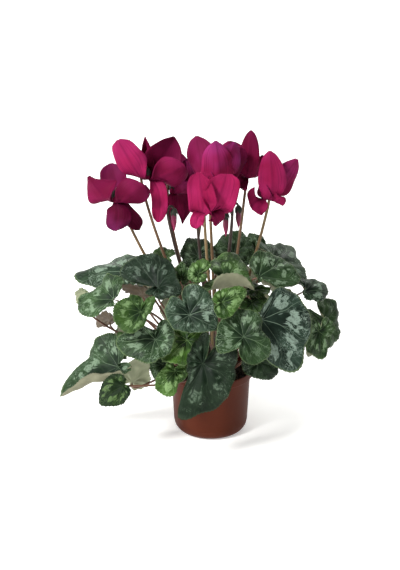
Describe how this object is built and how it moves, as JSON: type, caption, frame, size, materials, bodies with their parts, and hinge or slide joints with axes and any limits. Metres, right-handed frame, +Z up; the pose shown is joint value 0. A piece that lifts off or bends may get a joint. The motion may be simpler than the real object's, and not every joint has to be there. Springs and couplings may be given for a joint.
{
  "type": "potted cyclamen",
  "caption": "Flowering house plant in a round terracotta-coloured pot, with marbled heart-shaped leaves on long stalks and nodding magenta blooms with swept-back petals above them.",
  "frame": {"origin": "middle of the flat underside of the pot's base", "axes": "+Z up along the pot's axis, -Y towards the side that the picture is taken from, +X to the right in that view"},
  "size_m": [0.3403, 0.2486, 0.3731],
  "materials": {
    "pot_plastic": "satin",
    "soil": "matte",
    "tuber": "matte",
    "leaf": "satin",
    "petal": "satin",
    "flower_stalk": "satin",
    "bud": "satin"
  },
  "bodies": {
    "root": {"bloom_1": "petal", "bloom_2": "petal", "bloom_3": "petal", "bloom_4": "petal", "bloom_5": "petal", "bloom_6": "petal", "bloom_7": "petal", "bloom_8": "petal", "bud_1": "bud", "bud_2": "bud", "bud_3": "bud", "bud_4": "bud", "leaf_01": "leaf", "leaf_02": "leaf", "leaf_03": "leaf", "leaf_04": "leaf", "leaf_05": "leaf", "leaf_06": "leaf", "leaf_07": "leaf", "leaf_08": "leaf", "leaf_09": "leaf", "leaf_10": "leaf", "leaf_11": "leaf", "leaf_12": "leaf", "leaf_13": "leaf", "leaf_14": "leaf", "leaf_15": "leaf", "leaf_16": "leaf", "leaf_17": "leaf", "leaf_18": "leaf", "leaf_19": "leaf", "leaf_20": "leaf", "leaf_21": "leaf", "leaf_22": "leaf", "leaf_23": "leaf", "leaf_24": "leaf", "leaf_25": "leaf", "leaf_26": "leaf", "leaf_27": "leaf", "leaf_28": "leaf", "leaf_29": "leaf", "leaf_33": "leaf", "leaf_34": "leaf", "leaf_35": "leaf", "leaf_back_1": "leaf", "leaf_back_2": "leaf", "leaf_back_3": "leaf", "leaf_back_4": "leaf", "leaf_back_5": "leaf", "pot": "pot_plastic", "scape_1": "flower_stalk", "scape_2": "flower_stalk", "scape_3": "flower_stalk", "scape_4": "flower_stalk", "scape_5": "flower_stalk", "scape_6": "flower_stalk", "scape_7": "flower_stalk", "scape_8": "flower_stalk", "soil": "soil", "tuber": "tuber"}
  },
  "joints": []
}
